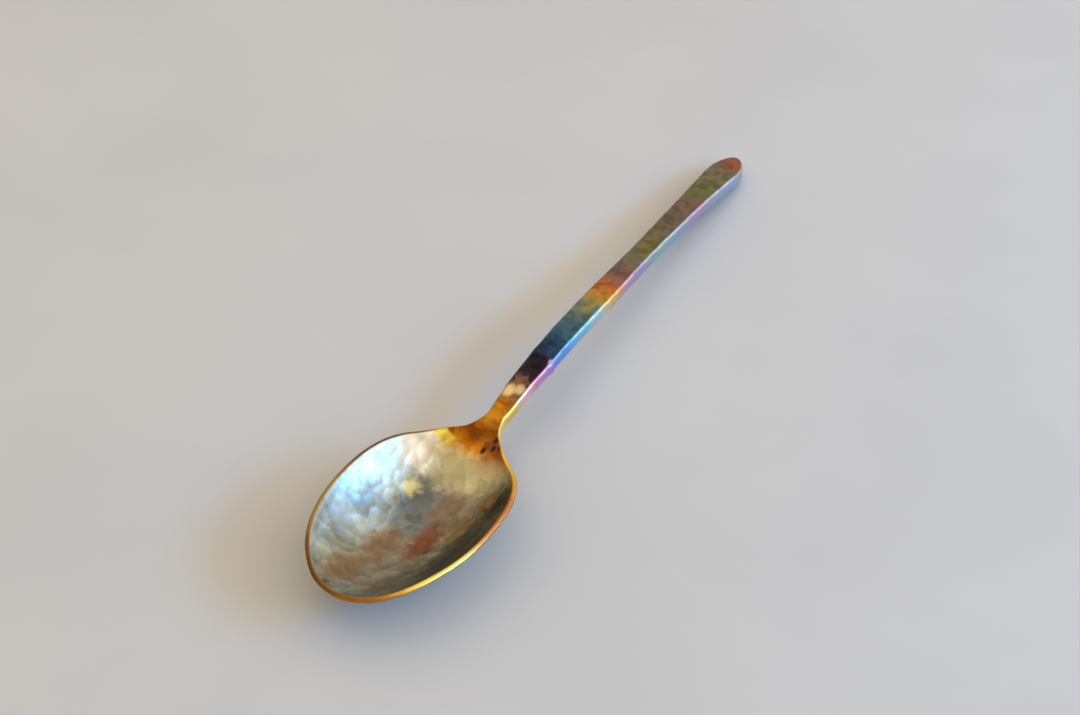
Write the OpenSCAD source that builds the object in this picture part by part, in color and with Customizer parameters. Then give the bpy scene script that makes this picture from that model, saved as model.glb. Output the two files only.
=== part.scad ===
// Hand-forged spoon: an egg-shaped dished bowl, a narrow throat and a flat arched bar.
// It lies as it rests on a table: +Y runs from the bowl to the handle's end, +Z is up, and the
// origin is on the table at the middle of the length. Millimetres.

/* [Overall] */
// Length from the bowl's front edge to the end of the handle
spoon_len = 160; // [150:1:180]

/* [Bowl] */
// Width across the bowl's underside at its widest place, before its edges are broken
bowl_w = 33; // [28:0.5:38]
// Distance of the widest place from the front edge
widest_s = 26; // [23:0.5:28]
// Length of the egg's blunt half, behind the widest place
blunt_len = 21.2; // [19.5:0.1:22]
// Thickness of the metal in the bowl
sheet_t = 1.0; // [0.8:0.1:1.4]
// Height of the rim above the table along the sides
rim_h = 9.7; // [8:0.1:11]
// Height of the rim above the table at the front edge
front_rim_h = 8.3; // [7:0.1:9.5]
// Depth planished off the lowest place under the bowl, which leaves a small flat to rest on
flat_cut = 0.25; // [0.15:0.05:0.35]

/* [Neck] */
// Distance of the narrowest place from the front edge
neck_s = 57; // [55:0.5:60]
// Width at the narrowest place
neck_w = 4.1; // [3.6:0.1:6]
// Height of the underside above the table at the narrowest place
neck_h = 5.8; // [4.5:0.1:7]

/* [Handle] */
// Thickness of the flat bar
bar_t = 3.0; // [2.4:0.1:3.6]
// Width of the bar where its arch is highest
bar_w = 5.4; // [4.6:0.1:6.4]
// Width of the flared end
end_w = 7.0; // [5.8:0.1:8]
// Length of the rounded end
end_round = 6.7; // [4:0.1:8]
// Height of the underside above the table at the top of the arch
arch_h = 7.1; // [6:0.1:9]
// Width of the chamfer that breaks the edges of the bar
edge_chamfer = 0.35; // [0.1:0.05:0.5]

/* [Hidden] */

// Places where one zone of the forging ends and the next starts
bowl_end = 52;
neck_end = 64;

// The shoulder leaves the egg here, and runs in a smooth hollow to the neck
shoulder_s = 44;
// Place where the arch of the bar is highest
arch_s = 78;
// Roundness of the egg's halves: 2 is an ellipse, and more is squarer
front_power = 2;
blunt_power = 2.5;
// Width of the small flat that ends the bowl and the handle, in place of a sharp point
nose_w = 1.6;

// Strips across the dished metal and across the flat bar, and rows along each stretch
dish_columns = 18;
bar_columns = 6;
front_rows = 12;
back_rows = 15;
neck_rows = 8;
bar_rows = 24;
end_rows = 8;

// The underside of the last stretch drops by this much over this length, down to the table
end_drop = 2.1;
end_run = 15;
// The end is cut square to the sloping bar, so its top reaches a little past its underside
end_t = bar_t + 0.1;
end_lean = end_t * end_drop / norm([end_drop, end_run]);
under_len = spoon_len - end_lean;
round_start = under_len - end_round;

// Underside of the bowl is a parabola across, as deep as the rim is high
dish = (rim_h + flat_cut) / pow(bowl_w / 2, 2);

// Height of the underside's edges along the spoon, as [distance from the front edge, height]
edge_line = [
    [0, front_rim_h],
    [widest_s / 2, rim_h + 0.1],
    [widest_s, rim_h],
    [widest_s + 12, rim_h - 0.3],
    [shoulder_s + 2, rim_h - 1.1],
    [bowl_end - 1, neck_h + 0.9],
    [neck_s, neck_h],
    [neck_end + 2, arch_h - 0.3],
    [arch_s, arch_h],
    [arch_s + 18, arch_h - 0.9],
    [under_len - 40, 4.4],
    [under_len - end_run, end_drop],
    [under_len, 0]
];

// Half width along the bar: the hammered edges waver a little
bar_line = [
    [neck_s, neck_w / 2],
    [neck_end + 1, bar_w / 2 - 0.3],
    [arch_s, bar_w / 2],
    [arch_s + 18, bar_w / 2 + 0.1],
    [under_len - 45, bar_w / 2 - 0.2],
    [under_len - 25, bar_w / 2 + 0.1],
    [round_start, end_w / 2]
];

// Thickness along the spoon
thickness_line = [
    [0, sheet_t],
    [shoulder_s - 4, sheet_t],
    [bowl_end - 3, lerp(sheet_t, bar_t, 0.35)],
    [neck_s + 1, bar_t - 0.1],
    [arch_s, bar_t],
    [under_len, end_t]
];

function lerp(a, b, t) = a + (b - a) * t;

// Slope of a line of [place, value] pairs from its pair i to the next, and its smooth slope at the
// pair i, which is level at each high or low place so that the line never overshoots
function rise(line, i) = (line[i + 1][1] - line[i][1]) / (line[i + 1][0] - line[i][0]);
function slope_at(line, i) =
    i == 0 ? rise(line, 0)
    : i == len(line) - 1 ? rise(line, i - 1)
    : let (before = rise(line, i - 1), after = rise(line, i))
      before * after <= 0 ? 0 : 2 * before * after / (before + after);

// Value between two pairs whose slopes are known, at the fraction t of the way
function blend(a, b, slope_a, slope_b, length, t) =
    a * (1 - 3 * t * t + 2 * t * t * t)
    + b * (3 * t * t - 2 * t * t * t)
    + slope_a * length * (t - 2 * t * t + t * t * t)
    + slope_b * length * (t * t * t - t * t);

// Smooth value of a line at the place s
function span_of(line, s, i = 0) = i >= len(line) - 2 || s < line[i + 1][0] ? i : span_of(line, s, i + 1);
function along(line, s) =
    let (i = span_of(line, s), length = line[i + 1][0] - line[i][0])
    blend(line[i][1], line[i + 1][1], slope_at(line, i), slope_at(line, i + 1),
          length, (s - line[i][0]) / length);

// Half width of an oval whose half length is reach, at the distance d from its widest place
function oval(half_w, reach, power, d) = half_w * pow(max(0, 1 - pow(d / reach, power)), 1 / power);
// Half length that makes an oval nose_w wide at the distance d
function nosed(half_w, power, d) = d / pow(1 - pow(nose_w / 2 / half_w, power), 1 / power);

function egg(s) =
    s < widest_s
    ? oval(bowl_w / 2, nosed(bowl_w / 2, front_power, widest_s), front_power, widest_s - s)
    : oval(bowl_w / 2, blunt_len, blunt_power, s - widest_s);
function shoulder(s) =
    let (step = 0.01, slope = (egg(shoulder_s) - egg(shoulder_s - step)) / step,
         length = neck_s - shoulder_s)
    blend(egg(shoulder_s), neck_w / 2, slope, 0, length, (s - shoulder_s) / length);
function rounded_end(s) =
    oval(end_w / 2, nosed(end_w / 2, 2, end_round), 2, s - round_start);

// Half width of the whole spoon at the distance s from the front edge
function half_width(s) =
    s < shoulder_s ? egg(s)
    : s < neck_s ? shoulder(s)
    : s < round_start ? along(bar_line, s)
    : rounded_end(s);

// The dish fades out past the bowl, so the bar's underside is flat
function dish_at(s) = dish * (1 - smooth_step((s - bowl_end + 4) / 12));
function smooth_step(t) = let (u = max(0, min(1, t))) u * u * (3 - 2 * u);

// Height of the underside on the centre line, and anywhere across it
function keel(s) = along(edge_line, s) - dish_at(s) * pow(half_width(s), 2);
function keel_slope(s) =
    let (step = 0.05, a = max(0, s - step), b = min(under_len, s + step))
    (keel(b) - keel(a)) / (b - a);

// A point of the metal: x across, s along, and depth millimetres into it from the underside
function metal(x, s, depth) =
    let (across = 2 * dish_at(s) * x, slope = keel_slope(s),
         size = norm([across, slope, 1]),
         under = keel(s) + dish_at(s) * x * x)
    [x - depth * across / size,
     s - depth * slope / size - spoon_len / 2,
     depth > 0 ? under + depth / size : max(0, under)];

// One closed ring of the section: along the underside, up one edge, back along the top, down again
function ring(s, columns) =
    let (half = half_width(s), thick = along(thickness_line, s),
         cut = min(edge_chamfer, thick / 4, half / 3))
    concat(
        [for (i = [0:columns]) metal((half - cut) * (2 * i / columns - 1), s, 0)],
        [metal(half, s, cut), metal(half, s, thick - cut)],
        [for (i = [columns:-1:0]) metal((half - cut) * (2 * i / columns - 1), s, thick)],
        [metal(-half, s, thick - cut), metal(-half, s, cut)]
    );

// Triangles that close the ring whose first point is given: strips from the underside to the top,
// then the two edges
function cap(first, columns) =
    let (top = 2 * columns + 3)
    concat(
        [for (i = [0:columns - 1]) [first + i, first + top - i, first + i + 1]],
        [for (i = [0:columns - 1]) [first + i + 1, first + top - i, first + top - i - 1]],
        [[first + columns, first + columns + 2, first + columns + 1],
         [first + columns, first + columns + 3, first + columns + 2],
         [first, first + top + 1, first + top],
         [first, first + top + 2, first + top + 1]]
    );
function flipped(faces) = [for (f = faces) [f[2], f[1], f[0]]];

// A closed solid through the rings at the given places
module forged(places, columns) {
    around = 2 * columns + 6;
    rings = len(places);
    points = [for (s = places) each ring(s, columns)];
    sides = [
        for (r = [0:rings - 2], i = [0:around - 1])
            let (a = r * around + i, b = r * around + (i + 1) % around)
            each [[a, b, a + around], [b, b + around, a + around]]
    ];
    last_cap = flipped(cap((rings - 1) * around, columns));
    polyhedron(points, concat(sides, cap(0, columns), last_cap), convexity = 6);
}

// Places from one up to but not at another: even, crowding at the start, or crowding at the end
function even(from, to, rows) = [for (i = [0:rows - 1]) lerp(from, to, i / rows)];
function opening(from, to, rows) = [for (i = [0:rows - 1]) lerp(from, to, 1 - cos(90 * i / rows))];
function closing(from, to, rows) = [for (i = [0:rows - 1]) lerp(from, to, sin(90 * i / rows))];

// Dished leaf with its rim and shoulders
module bowl() {
    front = opening(0, widest_s, front_rows);
    back = even(widest_s, bowl_end, back_rows);
    color("lightsteelblue")
        forged(concat(front, back, [bowl_end]), dish_columns);
}

// Throat between the bowl and the bar
module neck() {
    color("sienna")
        forged(concat(even(bowl_end, neck_end, neck_rows), [neck_end]), dish_columns);
}

// Flat arched bar with its flared, rounded end
module handle() {
    bar = even(neck_end, round_start, bar_rows);
    round = closing(round_start, under_len, end_rows);
    color("olivedrab")
        forged(concat(bar, round, [under_len]), bar_columns);
}

bowl();
neck();
handle();
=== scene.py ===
"""A hand-forged titanium spoon, hammered and heat-coloured, lying on a pale table."""

import itertools
import math

import bpy
import numpy as np
from mathutils import Matrix, Vector

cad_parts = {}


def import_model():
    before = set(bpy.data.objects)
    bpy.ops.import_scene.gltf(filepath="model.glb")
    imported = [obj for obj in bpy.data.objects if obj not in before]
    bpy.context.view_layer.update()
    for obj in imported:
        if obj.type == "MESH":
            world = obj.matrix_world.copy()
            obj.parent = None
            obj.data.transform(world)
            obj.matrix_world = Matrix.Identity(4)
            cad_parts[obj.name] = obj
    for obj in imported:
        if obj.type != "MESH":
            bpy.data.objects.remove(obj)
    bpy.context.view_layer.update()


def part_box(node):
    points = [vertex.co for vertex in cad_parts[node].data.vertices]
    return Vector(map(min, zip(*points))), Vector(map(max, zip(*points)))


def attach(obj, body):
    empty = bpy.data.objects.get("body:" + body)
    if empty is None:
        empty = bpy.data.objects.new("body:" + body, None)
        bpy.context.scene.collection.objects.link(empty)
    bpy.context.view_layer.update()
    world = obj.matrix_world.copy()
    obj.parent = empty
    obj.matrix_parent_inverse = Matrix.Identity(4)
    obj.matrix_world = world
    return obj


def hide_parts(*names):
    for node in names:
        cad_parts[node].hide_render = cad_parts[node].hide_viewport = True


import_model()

MM = 0.001

# ---------------------------------------------------------------------------------------------
# Sizes. Places along the spoon are distances from the bowl's front edge.

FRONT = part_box("bowl")[0].y
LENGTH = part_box("handle")[1].y - FRONT
# Rounding the rim takes this much off the bowl's half width again
ROUNDED_OFF = 0.16 * MM
BOWL_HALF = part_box("bowl")[1].x + ROUNDED_OFF
BOWL_WIDEST = 26 * MM
BLUNT_LEN = 21.2 * MM
RIM_H = 9.67 * MM
FRONT_RIM_H = 8.3 * MM
FLAT_CUT = 0.25 * MM
SHEET = 1.0 * MM

SHOULDER = 44 * MM
BOWL_END = 52 * MM
NECK = 57 * MM
NECK_END = 64 * MM
NECK_HALF = 2.05 * MM
NECK_H = 5.8 * MM

ARCH = 78 * MM
ARCH_H = 7.1 * MM
BAR_HALF = 2.7 * MM
BAR_T = 3.0 * MM
END_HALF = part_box("handle")[1].x
END_ROUND = 6.7 * MM
END_DROP = 2.1 * MM
END_RUN = 15 * MM
# Half width of the flat that ends the bowl and the handle, in place of a sharp point
NOSE_HALF = 0.08 * MM

# Roundness of the egg's blunt half and of an ellipse: more is squarer
BLUNT_POWER = 2.5
ELLIPSE = 2

# The end is cut square to the sloping bar, so the top reaches past the underside
END_T = BAR_T + 0.1 * MM
UNDER_LEN = LENGTH - END_T * END_DROP / math.hypot(END_DROP, END_RUN)
ROUND_START = UNDER_LEN - END_ROUND

DISH = (RIM_H + FLAT_CUT) / BOWL_HALF**2

# [place, value] along the spoon: height of the underside's edges, half width of the bar, thickness
EDGE_LINE = [
    (0, FRONT_RIM_H),
    (BOWL_WIDEST / 2, RIM_H + 0.1 * MM),
    (BOWL_WIDEST, RIM_H),
    (BOWL_WIDEST + 12 * MM, RIM_H - 0.3 * MM),
    (SHOULDER + 2 * MM, RIM_H - 1.1 * MM),
    (BOWL_END - 1 * MM, NECK_H + 0.9 * MM),
    (NECK, NECK_H),
    (NECK_END + 2 * MM, ARCH_H - 0.3 * MM),
    (ARCH, ARCH_H),
    (ARCH + 18 * MM, ARCH_H - 0.9 * MM),
    (UNDER_LEN - 40 * MM, 4.4 * MM),
    (UNDER_LEN - END_RUN, END_DROP),
    (UNDER_LEN, 0),
]
BAR_LINE = [
    (NECK, NECK_HALF),
    (NECK_END + 1 * MM, BAR_HALF - 0.3 * MM),
    (ARCH, BAR_HALF),
    (ARCH + 18 * MM, BAR_HALF + 0.1 * MM),
    (UNDER_LEN - 45 * MM, BAR_HALF - 0.2 * MM),
    (UNDER_LEN - 25 * MM, BAR_HALF + 0.1 * MM),
    (ROUND_START, END_HALF),
]
THICKNESS_LINE = [
    (0, SHEET),
    (SHOULDER - 4 * MM, SHEET),
    (BOWL_END - 3 * MM, SHEET + 0.35 * (BAR_T - SHEET)),
    (NECK + 1 * MM, BAR_T - 0.1 * MM),
    (ARCH, BAR_T),
    (UNDER_LEN, END_T),
]


# ---------------------------------------------------------------------------------------------
# Form of the metal, for arrays of places

def ease(t):
    t = np.clip(t, 0, 1)
    return t * t * (3 - 2 * t)


def fade(value, none, full):
    """How far a value has come from one limit to the other, 0 to 1, smooth at both."""
    return ease((value - none) / (full - none))


def bridge(a, b, slope_a, slope_b, length, t):
    """Value at the fraction t between two ends whose slopes are known."""
    return (a * (1 - 3 * t**2 + 2 * t**3) + b * (3 * t**2 - 2 * t**3)
            + slope_a * length * (t - 2 * t**2 + t**3) + slope_b * length * (t**3 - t**2))


def along(line, s):
    """Smooth value of a line of [place, value] pairs, level at its high and low places."""
    place, value = np.array(line, float).T
    rise = np.diff(value) / np.diff(place)
    product = rise[:-1] * rise[1:]
    level = product <= 0
    inner = np.where(level, 0, 2 * product / np.where(level, 1, rise[:-1] + rise[1:]))
    slope = np.concatenate([rise[:1], inner, rise[-1:]])
    i = np.clip(np.searchsorted(place, s, side="right") - 1, 0, len(place) - 2)
    length = place[i + 1] - place[i]
    return bridge(value[i], value[i + 1], slope[i], slope[i + 1], length, (s - place[i]) / length)


def oval(half, reach, power, d):
    """Half width at the distance d from an oval's middle, which ends at its reach."""
    return half * np.maximum(0, 1 - np.abs(d / reach) ** power) ** (1 / power)


def nosed(half, d):
    """Half length of an ellipse that is still NOSE_HALF wide at the distance d."""
    return d / math.sqrt(1 - (NOSE_HALF / half) ** 2)


def egg(s):
    """Half width of the bowl."""
    front = oval(BOWL_HALF, nosed(BOWL_HALF, BOWL_WIDEST), ELLIPSE, BOWL_WIDEST - s)
    blunt = oval(BOWL_HALF, BLUNT_LEN, BLUNT_POWER, np.maximum(s - BOWL_WIDEST, 0))
    return np.where(s < BOWL_WIDEST, front, blunt)


def shoulder(s):
    """Half width where the bowl runs in to the neck."""
    step = 0.01 * MM
    slope = (egg(SHOULDER) - egg(SHOULDER - step)) / step
    length = NECK - SHOULDER
    return bridge(egg(SHOULDER), NECK_HALF, slope, 0, length, (s - SHOULDER) / length)


def half_width(s):
    bar = along(BAR_LINE, np.maximum(s, NECK))
    end = oval(END_HALF, nosed(END_HALF, END_ROUND), ELLIPSE, s - ROUND_START)
    return np.select([s < SHOULDER, s < NECK, s < ROUND_START], [egg(s), shoulder(s), bar], end)


def dish_at(s):
    """The bowl's curve across, which fades out past the bowl."""
    return DISH * (1 - fade(s, BOWL_END - 4 * MM, BOWL_END + 8 * MM))


def keel(s):
    """Height of the underside's middle line."""
    return along(EDGE_LINE, s) - dish_at(s) * half_width(s) ** 2


def metal(x, s, depth):
    """Points of the metal: x across, s along, and depth up into it from the underside."""
    step = 0.05 * MM
    before = np.maximum(0, s - step)
    after = np.minimum(UNDER_LEN, s + step)
    slope = (keel(after) - keel(before)) / (after - before)
    across = 2 * dish_at(s) * x
    size = np.sqrt(across**2 + slope**2 + 1)
    height = keel(s) + dish_at(s) * x**2 + depth / size
    return np.stack([x - depth * across / size, s - depth * slope / size + FRONT,
                     np.maximum(height, 0)], -1)


# ---------------------------------------------------------------------------------------------
# Hammer marks

# Blows each way before their pattern repeats, and a height that is far above the metal
PATTERN = 64
FAR = 1.0
# How far a blow strays in its cell, 1 being to the cell's edges, and how much its face may lean
STRAY = 0.9
LEAN = 0.07
# Height over which two blows blend where they meet, and the width of the crease there, which gets
# painted shade
BLEND = 0.05 * MM
CREASE = 0.5 * MM


def hammered(u, v, pitch, radius, sink, seed):
    """Relief of overlapping round hammer blows at the places (u, v), all of it at or below 0.

    Also gives each place's blow a number from 0 to 1, and how near it is to a crease, 0 to 1.
    """
    dice = np.random.default_rng(seed).random((PATTERN, PATTERN, 6))
    cell_u = np.floor(u / pitch).astype(int)
    cell_v = np.floor(v / pitch).astype(int)
    lowest = np.full(u.shape, FAR)
    second = np.full(u.shape, FAR)
    blow = np.zeros(u.shape)
    for step_u, step_v in itertools.product(range(-2, 3), repeat=2):
        i, j = cell_u + step_u, cell_v + step_v
        pick = dice[i % PATTERN, j % PATTERN]
        stray_u, stray_v, lean_u, lean_v = np.moveaxis(pick[..., :4] - 0.5, -1, 0)
        depth, number = pick[..., 4], pick[..., 5]
        du = u - pitch * (i + 0.5 + STRAY * stray_u)
        dv = v - pitch * (j + 0.5 + STRAY * stray_v)
        tilt = LEAN * (lean_u * du + lean_v * dv)
        face = (du**2 + dv**2) / (2 * radius) + tilt - sink * (0.5 + depth)
        nearer = face < lowest
        second = np.where(nearer, lowest, np.minimum(second, face))
        blow = np.where(nearer, number, blow)
        lowest = np.where(nearer, face, lowest)
    gap = second - lowest
    blended = lowest - np.maximum(BLEND - gap, 0) ** 2 / (4 * BLEND)
    crease = 1 - ease(gap * radius / pitch / CREASE)
    return np.minimum(blended, 0), blow, crease


# Each zone's marks: pitch and radius of the blows and how deep they sink, on the top, the underside
# and the edges
MARKS = {
    "bowl": {"top": (2.6 * MM, 14 * MM, 0.10 * MM), "under": (3.2 * MM, 18 * MM, 0.10 * MM)},
    "bar": {"top": (2.3 * MM, 15 * MM, 0.08 * MM), "under": (3.0 * MM, 16 * MM, 0.08 * MM)},
}
EDGE_MARKS = (3.6 * MM, 16 * MM, 0.08 * MM)
SEEDS = {"top": 11, "under": 23, "edge": 37}
# A burr that one blow raised on the bar's +X edge
BURR = {"place": 73 * MM, "reach": 0.9 * MM, "height": 0.3 * MM}


def marks(x, s, face):
    """Hammer marks of one face: those of the bowl turn into those of the bar at the neck."""
    bar = fade(s, BOWL_END - 3 * MM, BOWL_END + 3 * MM)
    along_dish = x * (1 + (2 * dish_at(s) * x) ** 2 / 6)
    bowl_marks = hammered(along_dish, s, *MARKS["bowl"][face], SEEDS[face])
    bar_marks = hammered(x, s, *MARKS["bar"][face], SEEDS[face] + 1)
    return [a * (1 - bar) + b * bar for a, b in zip(bowl_marks, bar_marks)]


# ---------------------------------------------------------------------------------------------
# Meshes

# Radius of the rounded edges, and the most that it takes of the thickness and of the half width
CORNER = 0.8 * MM
THICKNESS_SHARE = 0.4
HALF_SHARE = 0.35
CORNER_STEPS = 5
WALL_STEPS = 6

# Strips across each piece's faces, and rows of points along them
BOWL_COLUMNS = 130
NECK_COLUMNS = 40
HANDLE_COLUMNS = 28
ROW_PITCH = 0.25 * MM
FRONT_ROWS = 90
END_ROWS = 30

# Power of the share of the half width by which the marks of the edges fade out over the faces
SIDE_POWER = 12

# Distances from the edge: where a fade is at 0, and where it is full
SMOOTH_RIM = (0.5 * MM, 1.7 * MM)
RIM_COLOUR = (0.5 * MM, 0.2 * MM)
WALL_COLOUR = (0.6 * MM, 0.2 * MM)
# Shares of the thickness: over how much of it the edges' colours come in at the rim and on the
# bar, and how high they reach on the bar's +X and -X side
RIM_FADE = 0.25
WALL_FADE = 0.125
# Reaching higher on the +X side, towards the lamps, makes a painted highlight over the top's edge
WALL_SHEEN_TOPS = (1.2, 0.9)


def rings(places, columns):
    """x, s and depth of closed rings: underside, +X edge, top and -X edge."""
    s = places[:, None]
    half, thick = half_width(s), along(THICKNESS_LINE, s)
    corner = np.minimum(CORNER, np.minimum(THICKNESS_SHARE * thick, HALF_SHARE * half))
    slant = np.sqrt(1 + (2 * dish_at(s) * half) ** 2)
    flat = half - corner / slant
    turn = np.arange(1, CORNER_STEPS + 1) / CORNER_STEPS * math.pi / 2
    wall = np.arange(1, WALL_STEPS) / WALL_STEPS
    edge_x = np.concatenate([
        flat + (half - flat) * np.sin(turn),
        half + 0 * wall,
        flat + (half - flat) * np.sin(turn[::-1]),
    ], 1)
    lower = corner * (1 - np.cos(turn))
    edge_depth = np.concatenate([
        lower, corner + (thick - 2 * corner) * wall, thick - lower[:, ::-1],
    ], 1)
    across = np.linspace(-1, 1, columns + 1)
    under_x = flat * across
    x = np.concatenate([under_x, edge_x, -under_x, -edge_x[:, ::-1]], 1)
    depth = np.concatenate([0 * under_x, edge_depth, thick + 0 * under_x, edge_depth[:, ::-1]], 1)
    return x, np.broadcast_to(s, x.shape), depth


def edge_colour_share(x, half, rise, bar):
    """How much a point has the edges' colours: a thin rim on the bowl, and the bar's side walls.

    On the bar they reach over the top's +X edge as a painted highlight, and stop short of its -X edge.
    """
    from_rim = half - np.abs(x)
    rim = fade(from_rim, *RIM_COLOUR) * fade(rise, 0, RIM_FADE)
    wall_top = np.where(x > 0, *WALL_SHEEN_TOPS)
    height = fade(rise, 0, WALL_FADE) * fade(rise, wall_top, wall_top - WALL_FADE)
    wall = fade(from_rim, *WALL_COLOUR) * height
    return rim * (1 - bar) + wall * bar


def forge(places, columns):
    """Points of the hammered rings, and what the materials read of each point."""
    x, s, depth = rings(places, columns)
    half, thick = half_width(s), along(THICKNESS_LINE, s)
    rise = depth / thick
    top, top_blow, top_crease = marks(x, s, "top")
    under, under_blow, under_crease = marks(x, s, "under")
    side = np.abs(x / half) ** SIDE_POWER
    bar = fade(s, SHOULDER, NECK)
    edge = hammered(s, depth, *EDGE_MARKS, SEEDS["edge"])[0]
    burr = BURR["height"] * np.exp(-(((s - BURR["place"]) / BURR["reach"]) ** 2))
    x = x + np.sign(x) * side * edge * bar + np.maximum(np.sign(x), 0) * side * burr
    # The bowl's marks stop short of its rim, which stays smooth
    top = top * (bar + (1 - bar) * fade(half - np.abs(x), *SMOOTH_RIM))
    depth = depth + rise * top - (1 - rise) * under
    facts = {
        "blow": np.where(rise > 0.5, top_blow, under_blow),
        "crease": np.where(rise > 0.5, top_crease, under_crease) * (1 - side),
        "side": edge_colour_share(x, half, rise, bar),
        "rise": rise,
    }
    return metal(x, s, depth), facts


def grid_normals(points):
    """Smooth normals of the rings, from their neighbours along and around."""
    lengthwise = points[2:] - points[:-2]
    around = np.roll(points, -1, 1) - np.roll(points, 1, 1)
    normal = np.cross(around[1:-1], lengthwise)
    smallest = 1e-12
    return normal / np.maximum(np.linalg.norm(normal, axis=-1, keepdims=True), smallest)


def zone(name, places, columns, material):
    """One closed piece of the forging. It has a ring just past each end where it meets the next
    piece, for the normals alone, so that the light runs on unbroken over the joint."""
    step = places[1] - places[0]
    last_step = places[-1] - places[-2]
    ghosts = np.concatenate([[places[0] - step], places, [places[-1] + last_step]])
    points, facts = forge(np.clip(ghosts, 0, UNDER_LEN), columns)
    normals = grid_normals(points)
    points = points[1:-1]
    row_count, ring = points.shape[:2]
    rows = np.arange(row_count - 1)[:, None] * ring
    here = np.arange(ring)[None, :]
    ahead = (here + 1) % ring
    quads = np.stack([rows + here, rows + ahead, rows + ring + ahead, rows + ring + here], -1)
    faces = quads.reshape(-1, 4).tolist()
    faces += [list(range(ring))[::-1], [(row_count - 1) * ring + i for i in range(ring)]]

    mesh = bpy.data.meshes.new(name)
    mesh.from_pydata(points.reshape(-1, 3), [], faces)
    for fact, value in facts.items():
        layer = mesh.attributes.new(fact, "FLOAT", "POINT")
        layer.data.foreach_set("value", value[1:-1].ravel().astype(np.float32))
    mesh.shade_smooth()
    corner_normals = normals.reshape(-1, 3)[[loop.vertex_index for loop in mesh.loops]]
    for cap in mesh.polygons[-2:]:
        corner_normals[list(cap.loop_indices)] = cap.normal
    mesh.normals_split_custom_set(corner_normals)
    mesh.materials.append(material)
    piece = bpy.data.objects.new(name, mesh)
    bpy.context.scene.collection.objects.link(piece)
    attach(piece, "root")
    return piece


def even(start, end):
    """Places at an even pitch, both ends with them."""
    return np.linspace(start, end, max(2, round((end - start) / ROW_PITCH) + 1))


def opening(start, end, count):
    """Places that crowd at the start, as a round nose needs."""
    return start + (end - start) * (1 - np.cos(np.linspace(0, math.pi / 2, count)))


def closing(start, end, count):
    """Places that crowd at the end."""
    return end - (opening(start, end, count) - start)[::-1]


# ---------------------------------------------------------------------------------------------
# Materials

def paint(red, green, blue):
    """A colour written as it looks, 0 to 255, as the linear numbers that a shader takes."""
    parts = [c / 255 for c in (red, green, blue)]
    linear = [c / 12.92 if c <= 0.04045 else ((c + 0.055) / 1.055) ** 2.4 for c in parts]
    return (*linear, 1)


class Paper:
    """A material's nodes, with short calls to add and join them."""

    def __init__(self, name):
        self.material = bpy.data.materials.new(name)
        self.material.use_nodes = True
        self.nodes = self.material.node_tree.nodes
        self.links = self.material.node_tree.links
        self.nodes.clear()

    def put(self, socket, value):
        """Join a socket to another, or set it to a value."""
        if isinstance(value, bpy.types.NodeSocket):
            self.links.new(value, socket)
        else:
            socket.default_value = value

    def add(self, kind, **inputs):
        """A new node with its inputs set. An underscore stands for the space in an input's name."""
        node = self.nodes.new(kind)
        for name, value in inputs.items():
            self.put(node.inputs[name.replace("_", " ")], value)
        return node

    def math(self, operation, a, b=0.0, clamp=False):
        node = self.nodes.new("ShaderNodeMath")
        node.operation = operation
        node.use_clamp = clamp
        self.put(node.inputs[0], a)
        self.put(node.inputs[1], b)
        return node.outputs[0]

    def mix(self, share, a, b, blend="MIX"):
        node = self.nodes.new("ShaderNodeMix")
        node.data_type = "RGBA"
        node.blend_type = blend
        self.put(node.inputs["Factor"], share)
        self.put(node.inputs[6], a)
        self.put(node.inputs[7], b)
        return node.outputs[2]

    def fact(self, name):
        """What forge() wrote of each point under this name."""
        node = self.nodes.new("ShaderNodeAttribute")
        node.attribute_name = name
        return node.outputs["Fac"]

    def place(self, stretch=(1, 1, 1)):
        """Places on the object, in millimetres, stretched along each axis."""
        spot = self.nodes.new("ShaderNodeTexCoord").outputs["Object"]
        node = self.add("ShaderNodeMapping", Vector=spot)
        node.inputs["Scale"].default_value = [k / MM for k in stretch]
        return node.outputs[0]

    def noise(self, scale, detail=3.0, rough=0.55, stretch=(1, 1, 1), seed=0.0):
        """Cloudy noise from 0 to 1. The scale is in clouds per millimetre."""
        node = self.nodes.new("ShaderNodeTexNoise")
        node.noise_dimensions = "4D"
        self.put(node.inputs["Vector"], self.place(stretch))
        self.put(node.inputs["W"], seed)
        self.put(node.inputs["Scale"], scale)
        self.put(node.inputs["Detail"], detail)
        self.put(node.inputs["Roughness"], rough)
        return node.outputs["Fac"]

    def surface(self, shade):
        """Put a shader on the surface, which finishes the material."""
        out = self.nodes.new("ShaderNodeOutputMaterial")
        self.links.new(shade.outputs[0], out.inputs["Surface"])
        return self.material

    def span(self, value, low, high, to_low=0.0, to_high=1.0):
        """Value scaled from one span to another, smooth at both ends."""
        node = self.nodes.new("ShaderNodeMapRange")
        node.interpolation_type = "SMOOTHSTEP"
        for name, number in (("Value", value), ("From Min", low), ("From Max", high),
                             ("To Min", to_low), ("To Max", to_high)):
            self.put(node.inputs[name], number)
        return node.outputs[0]

    def bands(self, value, stops):
        """Colour bands: stops are [place from 0 to 1, colour]."""
        node = self.nodes.new("ShaderNodeValToRGB")
        ramp = node.color_ramp
        while len(ramp.elements) < len(stops):
            ramp.elements.new(0.5)
        for element, (place, colour) in zip(ramp.elements, stops):
            element.position = place
            element.color = colour
        self.put(node.inputs[0], value)
        return node.outputs[0]


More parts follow.
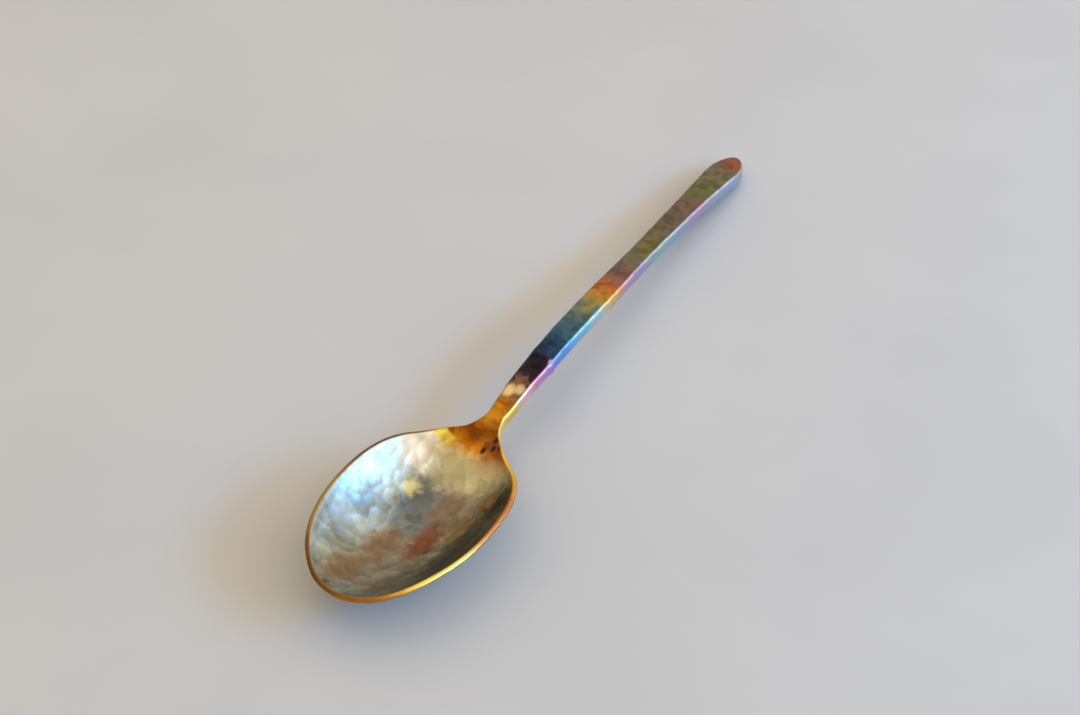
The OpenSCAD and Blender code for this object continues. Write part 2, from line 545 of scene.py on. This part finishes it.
# Heat colours of the metal's top, from the front edge: [millimetres, colour]
TOP_COLOURS = [
    (0, (148, 153, 150)),
    (40, (170, 168, 150)),
    (42.5, (198, 184, 132)),
    (44.5, (214, 154, 50)),
    (46, (196, 118, 18)),
    (48.5, (146, 80, 10)),
    (52.5, (126, 66, 8)),
    (54.5, (170, 102, 18)),
    (56.5, (216, 150, 34)),
    (59.5, (176, 104, 22)),
    (61, (184, 124, 48)),
    (64.8, (128, 98, 84)),
    (66.5, (62, 46, 52)),
    (72, (42, 34, 52)),
    (75, (40, 62, 106)),
    (80, (52, 100, 140)),
    (86, (84, 122, 142)),
    (91, (124, 142, 138)),
    (94.5, (176, 158, 84)),
    (98, (208, 148, 56)),
    (101, (196, 110, 64)),
    (105, (152, 110, 112)),
    (111, (124, 122, 104)),
    (117, (138, 128, 86)),
    (128, (124, 110, 100)),
    (136, (134, 108, 106)),
    (141, (114, 120, 76)),
    (148, (132, 134, 106)),
    (153, (134, 122, 102)),
    (157, (172, 102, 76)),
]
# Colours of its edges: heat colours with a painted reflection that makes them brighter and paler
EDGE_HEAT_AND_SHEEN = [
    (0, (150, 98, 30)),
    (6, (190, 132, 44)),
    (10, (255, 216, 100)),
    (21, (255, 226, 120)),
    (27, (206, 140, 76)),
    (38, (186, 120, 66)),
    (46, (240, 196, 84)),
    (54, (255, 236, 140)),
    (60, (252, 214, 100)),
    (64, (250, 216, 200)),
    (68, (232, 160, 200)),
    (72, (190, 150, 226)),
    (76, (124, 160, 246)),
    (82, (120, 192, 250)),
    (88, (160, 214, 242)),
    (93, (216, 232, 222)),
    (97, (232, 214, 140)),
    (101, (230, 178, 140)),
    (105, (220, 168, 194)),
    (110, (170, 174, 220)),
    (118, (170, 200, 198)),
    (126, (166, 196, 218)),
    (134, (194, 170, 208)),
    (141, (186, 186, 214)),
    (150, (170, 194, 224)),
    (158, (184, 184, 200)),
]
# Small speckles of colour on the bar: [share of the noise's range, colour]
SPECKLES = [
    (0.35, (96, 104, 150)),
    (0.45, (120, 160, 110)),
    (0.52, (150, 140, 120)),
    (0.60, (176, 110, 130)),
    (0.70, (190, 176, 120)),
]
# Clouds of faint colour in the bowl: [share of the noise's range, colour]
CLOUDS = [
    (0.32, (112, 122, 142)),
    (0.42, (146, 154, 156)),
    (0.49, (164, 165, 140)),
    (0.55, (158, 138, 114)),
    (0.62, (138, 142, 140)),
    (0.72, (128, 132, 150)),
]
# Stains and painted light inside the bowl: [x and place of the middle, half width, half length,
# strength, colour]
BOWL_STAINS_AND_PAINTED_LIGHT = [
    # Pale blue-grey over the -X wall: its own colour with a painted reflection of the window lamp in it;
    # the near-white patch next is painted reflection
    (-13, 22, 6.5, 24, 0.8, (164, 182, 188)),
    (-13, 37, 6, 10, 0.9, (214, 226, 214)),
    (-10.5, 28, 2.6, 4.5, 0.6, (126, 134, 138)),
    (-10.5, 15, 1.6, 3, 0.5, (112, 120, 122)),
    (-8, 13, 3, 9, 0.5, (160, 160, 134)),
    (-4.5, 10, 3, 6, 0.7, (148, 112, 76)),
    (-4, 20.5, 2.6, 6, 0.7, (148, 106, 74)),
    (-3, 34, 4.5, 7.5, 0.75, (116, 128, 136)),
    (1, 18, 3.4, 6, 0.5, (146, 134, 120)),
    (1.8, 26, 2.6, 6, 0.95, (130, 80, 48)),
    (1.5, 35, 3.2, 6, 0.7, (132, 100, 76)),
    (3.4, 9, 2, 7, 0.55, (134, 104, 74)),
    (8, 12, 4, 11, 0.6, (104, 106, 94)),
    # Painted shade: a dark patch over the +X wall
    (13, 24, 6.6, 19, 0.95, (54, 50, 44)),
    (6.4, 32, 1.8, 7, 0.75, (150, 124, 78)),
    (9, 37.5, 1.6, 3, 0.75, (144, 112, 50)),
    # Painted shade: a near-black patch high on the +X wall, towards the throat
    (12.8, 35.5, 3.2, 3.6, 0.95, (22, 18, 16)),
    # Painted light: the cream band is a painted reflection of the warm lamp, and the three bright spots
    # after it are painted highlights
    (-2, 42, 12, 3.6, 0.7, (236, 224, 176)),
    (-9.5, 42.6, 4.5, 4.5, 0.9, (255, 250, 236)),
    (-6.7, 35.6, 1.7, 2, 0.85, (255, 244, 170)),
    (-6.4, 46.2, 2.2, 1.5, 0.95, (255, 226, 90)),
    (-4, 2.6, 0.5, 0.9, 0.8, (74, 74, 78)),
]
# In the same way, near-black spots in the throat where it is pitted, and pale blows on the bar; the last
# one, at the burr, is a painted highlight
THROAT_PITS = [
    (2.6, 46.6, 0.5, 0.9, 0.9, (24, 14, 8)),
    (4.4, 47.4, 0.5, 1.0, 0.95, (24, 14, 8)),
    (5.6, 47.6, 0.4, 0.8, 0.9, (24, 14, 8)),
    (3.8, 49.8, 0.7, 1.3, 0.95, (24, 14, 8)),
]
PALE_BLOWS_AND_BURR_HIGHLIGHT = [
    (-0.9, 62.6, 1.3, 1.5, 0.9, (238, 208, 150)),
    (0.9, 63.6, 1.1, 1.4, 0.9, (232, 196, 158)),
    # A painted highlight on the burr
    (2.3, 73, 0.5, 0.8, 0.9, (214, 170, 255)),
]
# A spot has faded out where the square of the distance, in its half sizes, comes to this
SPOT_REACH = 1.7

# How much of each change of colour shows, and the colours that darken; those of the creases and of the
# rim are painted shade
CREASE_SHADE_SHARE, CREASE_SHADE_TINT = 0.12, (120, 112, 104)
BLOTCH_SHARE, BLOTCH_TINT = 0.55, (150, 146, 140)
BLOW_SHARE, BLOW_TINT = 0.45, (176, 176, 176)
RIM_SHADE_SHARE, RIM_SHADE_TINT = 0.75, (92, 58, 28)
SPECKLE_SHARE = 0.35
CLOUD_SHARE = 0.8

# The satin finish: strength and depth of its scratches, and the least and the most roughness
SCRATCH_STRENGTH = 0.35
SCRATCH_DEPTH = 0.05 * MM
ROUGHNESS = (0.28, 0.44)


def stops(colours, unit=1.0):
    """Colour stops from a list of [place in units, colour]."""
    return [(place * unit, paint(*colour)) for place, colour in colours]


def across_and_along(paper):
    """x, and the distance from the bowl's front edge, in metres."""
    spot = paper.nodes.new("ShaderNodeTexCoord").outputs["Object"]
    axes = paper.add("ShaderNodeSeparateXYZ", Vector=spot).outputs
    return axes["X"], paper.math("SUBTRACT", axes["Y"], FRONT)


def on_top(paper):
    """1 on the top of the metal and 0 on its underside."""
    return paper.span(paper.fact("rise"), 0.4, 0.6)


def strayed(paper, value, noise, reach):
    """A value that noise takes astray by up to half the reach either way."""
    return paper.math("ADD", value, paper.math("MULTIPLY", paper.math("SUBTRACT", noise, 0.5), reach))


def heat_colours_and_edge_sheen(paper):
    """The colours of the heated metal: bands along the spoon on the top, others with painted reflection
    on the edges.

    In the bowl they lie askew and stray little, and on the bar they lie square and stray more. They
    change over before the joint, so that they run on unbroken from one piece to the next.
    """
    x, place = across_and_along(paper)
    slant = paper.span(place, SHOULDER, BOWL_END, 0.2, 0.0)
    wander = paper.span(place, SHOULDER, BOWL_END, 4 * MM, 9 * MM)
    per_blow = paper.span(place, SHOULDER, BOWL_END, 1.5 * MM, 3.5 * MM)
    place = paper.math("ADD", place, paper.math("MULTIPLY", x, slant))
    place = strayed(paper, place, paper.noise(scale=0.35, detail=4), wander)
    place = strayed(paper, place, paper.fact("blow"), per_blow)
    share = paper.math("DIVIDE", place, LENGTH, clamp=True)
    top = paper.bands(share, stops(TOP_COLOURS, MM / LENGTH))
    # The edges' colours are heat colours with a painted reflection in them
    edge = paper.bands(share, stops(EDGE_HEAT_AND_SHEEN, MM / LENGTH))
    return top, edge


def stains_and_painted_light(paper, colour, spots, ragged):
    """Colour with soft-edged oval spots over it, whose outlines noise makes ragged. A list may hold
    stains and painted light alike.
    """
    x, place = across_and_along(paper)
    x = strayed(paper, x, paper.noise(scale=0.5, detail=5, rough=0.6, seed=21), ragged)
    place = strayed(paper, place, paper.noise(scale=0.5, detail=5, rough=0.6, seed=22), ragged)
    for middle_x, middle, half, length, strength, tint in spots:
        dx = paper.math("DIVIDE", paper.math("SUBTRACT", x, middle_x * MM), half * MM)
        dy = paper.math("DIVIDE", paper.math("SUBTRACT", place, middle * MM), length * MM)
        away = paper.math("ADD", paper.math("MULTIPLY", dx, dx), paper.math("MULTIPLY", dy, dy))
        share = paper.span(away, SPOT_REACH, 0.0, 0.0, strength)
        colour = paper.mix(share, colour, paint(*tint))
    return colour


def finish_metal(paper, colour):
    """The shader that all the metal shares: satin, with painted shade in the creases, finely scratched.
    """
    # Painted shade darkens the creases between blows, in patches
    crease_patches = paper.span(paper.noise(scale=0.25, seed=31), 0.4, 0.65)
    crease_shade = paper.math("MULTIPLY", paper.fact("crease"), crease_patches)
    crease_shade = paper.math("MULTIPLY", crease_shade, CREASE_SHADE_SHARE)
    colour = paper.mix(crease_shade, colour, paint(*CREASE_SHADE_TINT), "MULTIPLY")
    scratches = paper.noise(scale=1.6, detail=5, rough=0.6, stretch=(1.0, 0.25, 1.0), seed=3)
    grain = paper.noise(scale=5, rough=0.6, seed=5)
    relief = paper.math("ADD", scratches, paper.math("MULTIPLY", grain, 0.4))
    bump = paper.add("ShaderNodeBump", Strength=SCRATCH_STRENGTH, Distance=SCRATCH_DEPTH, Height=relief)
    roughness = paper.span(paper.noise(scale=0.8, detail=4, seed=9), 0.3, 0.7, *ROUGHNESS)
    shade = paper.add("ShaderNodeBsdfPrincipled", Base_Color=colour, Metallic=1.0,
                      Roughness=roughness, Normal=bump.outputs[0])
    return paper.surface(shade)


def bar_metal():
    """Bands with darker blotches and small speckles, which come in past the joint with the bowl."""
    paper = Paper("heat_coloured_bar_painted_sheen")
    top, edge = heat_colours_and_edge_sheen(paper)
    place = across_and_along(paper)[1]
    blotch = paper.span(paper.noise(scale=0.45, detail=4, rough=0.6, seed=7), 0.42, 0.62)
    blotch = paper.math("MULTIPLY", blotch, paper.span(place, BOWL_END, NECK_END, 0.0, BLOTCH_SHARE))
    top = paper.mix(blotch, top, paint(*BLOTCH_TINT), "MULTIPLY")
    speckle = paper.bands(paper.noise(scale=0.9, detail=5, rough=0.7, seed=8), stops(SPECKLES))
    speckled = paper.span(place, BOWL_END, NECK_END, 0.0, SPECKLE_SHARE)
    top = paper.mix(speckled, top, speckle, "OVERLAY")
    top = paper.mix(on_top(paper), top, stains_and_painted_light(paper, top, PALE_BLOWS_AND_BURR_HIGHLIGHT, ragged=1.2 * MM))
    colour = paper.mix(paper.fact("side"), top, edge)
    return finish_metal(paper, colour)


def bowl_metal():
    """Clouds all over, and stains and painted light inside. The rim has painted shade on the -X side."""
    paper = Paper("heat_coloured_bowl_painted_light")
    top, edge = heat_colours_and_edge_sheen(paper)
    x, place = across_and_along(paper)
    before_joint = paper.span(place, BOWL_END, SHOULDER)
    clouds = paper.noise(scale=0.28, detail=5, rough=0.6, stretch=(1.2, 0.8, 1.0), seed=41)
    clouded = paper.span(place, SHOULDER - 4 * MM, SHOULDER + 2 * MM, CLOUD_SHARE, 0.0)
    cloudy = paper.mix(clouded, top, paper.bands(clouds, stops(CLOUDS)))
    inside = stains_and_painted_light(paper, cloudy, BOWL_STAINS_AND_PAINTED_LIGHT, ragged=6 * MM)
    inside = stains_and_painted_light(paper, inside, THROAT_PITS, ragged=1 * MM)
    by_blow = paper.span(paper.fact("blow"), 0.0, 1.0, 0.0, BLOW_SHARE)
    by_blow = paper.math("MULTIPLY", by_blow, before_joint)
    inside = paper.mix(by_blow, inside, paint(*BLOW_TINT), "MULTIPLY")
    top = paper.mix(on_top(paper), cloudy, inside)
    # Painted shade on the rim's -X side, away from the lamps
    shaded = paper.math("MULTIPLY", paper.span(x, 2 * MM, -8 * MM, 0.0, RIM_SHADE_SHARE), before_joint)
    edge = paper.mix(shaded, edge, paint(*RIM_SHADE_TINT))
    colour = paper.mix(paper.fact("side"), top, edge)
    return finish_metal(paper, colour)


def table_top():
    paper = Paper("pale_table")
    cloud = paper.span(paper.noise(scale=0.02, seed=2), 0.3, 0.7)
    colour = paper.mix(cloud, paint(196, 196, 200), paint(201, 201, 204))
    return paper.surface(paper.add("ShaderNodeBsdfPrincipled", Base_Color=colour, Roughness=0.6))


# ---------------------------------------------------------------------------------------------
# The spoon

bar = bar_metal()
bowl_rows = np.concatenate([
    opening(0, BOWL_WIDEST, FRONT_ROWS)[:-1],
    even(BOWL_WIDEST, BOWL_END),
])
bowl = zone("hammered_bowl", bowl_rows, BOWL_COLUMNS, bowl_metal())
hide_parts("bowl")

neck = zone("hammered_neck", even(BOWL_END, NECK_END), NECK_COLUMNS, bar)
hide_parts("neck")

handle_rows = np.concatenate([
    even(NECK_END, ROUND_START)[:-1],
    closing(ROUND_START, UNDER_LEN, END_ROWS),
])
handle = zone("hammered_handle", handle_rows, HANDLE_COLUMNS, bar)
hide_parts("handle")


# ---------------------------------------------------------------------------------------------
# Table, light and camera

def table():
    half = 1.5
    mesh = bpy.data.meshes.new("table_top")
    mesh.from_pydata([(-half, -half, 0), (half, -half, 0), (half, half, 0), (-half, half, 0)], [],
                     [(0, 1, 2, 3)])
    mesh.materials.append(table_top())
    top = bpy.data.objects.new("table_top", mesh)
    bpy.context.scene.collection.objects.link(top)


def lamp(name, azimuth, elevation, distance, width, height, glow, colour):
    """A soft lamp that looks at the spoon. Azimuth 0 is towards +X, and 90 towards +Y.

    Its glow is its brightness as the spoon sees it, where 1 is white.
    """
    light = bpy.data.lights.new(name, "AREA")
    light.shape = "RECTANGLE"
    light.size = width
    light.size_y = height
    light.energy = glow * math.pi * width * height
    light.color = colour
    obj = bpy.data.objects.new(name, light)
    around, up = math.radians(azimuth), math.radians(elevation)
    way = Vector((math.cos(around) * math.cos(up), math.sin(around) * math.cos(up), math.sin(up)))
    obj.location = way * distance
    obj.rotation_euler = way.to_track_quat("Z", "Y").to_euler()
    bpy.context.scene.collection.objects.link(obj)


def world():
    scene = bpy.context.scene
    scene.world = bpy.data.worlds.new("studio")
    scene.world.use_nodes = True
    back = scene.world.node_tree.nodes["Background"]
    back.inputs["Color"].default_value = (1.0, 0.865, 0.65, 1)
    back.inputs["Strength"].default_value = 0.75


def camera(azimuth, elevation, roll, distance, target, lens):
    """Azimuth 0 looks along +Y, and more of it takes the camera towards +X. Angles are in degrees."""
    around, up = math.radians(azimuth), math.radians(elevation)
    way = Vector((math.sin(around) * math.cos(up), -math.cos(around) * math.cos(up), math.sin(up)))
    data = bpy.data.cameras.new("camera")
    data.sensor_width = 36
    data.lens = lens
    data.clip_start = 0.01
    obj = bpy.data.objects.new("camera", data)
    turn = way.to_track_quat("Z", "Y").to_matrix().to_4x4() @ Matrix.Rotation(math.radians(roll), 4, "Z")
    obj.matrix_world = Matrix.Translation(target + way * distance) @ turn
    bpy.context.scene.collection.objects.link(obj)
    bpy.context.scene.camera = obj


table()
lamp("window", azimuth=16, elevation=26, distance=0.9, width=0.7, height=0.16, glow=15,
     colour=(0.03, 0.42, 1.0))
lamp("daylight", azimuth=44, elevation=28, distance=0.7, width=0.75, height=0.45, glow=0.95,
     colour=(1.0, 0.98, 0.9))
lamp("room", azimuth=-15, elevation=38, distance=0.9, width=0.9, height=0.7, glow=0.6,
     colour=(1.0, 0.95, 0.86))
lamp("back_wall", azimuth=118, elevation=44, distance=1.2, width=1.1, height=0.9, glow=0.2,
     colour=(1.0, 0.97, 0.92))
lamp("warm_lamp", azimuth=172, elevation=60, distance=1.3, width=0.9, height=0.9, glow=0.4,
     colour=(1.0, 0.84, 0.62))
world()
camera(azimuth=28.7, elevation=39.8, roll=0.6, distance=0.5475,
       target=Vector((-5.9, 3.8, 0)) * MM, lens=92.3)
bpy.context.scene.view_settings.view_transform = "Standard"
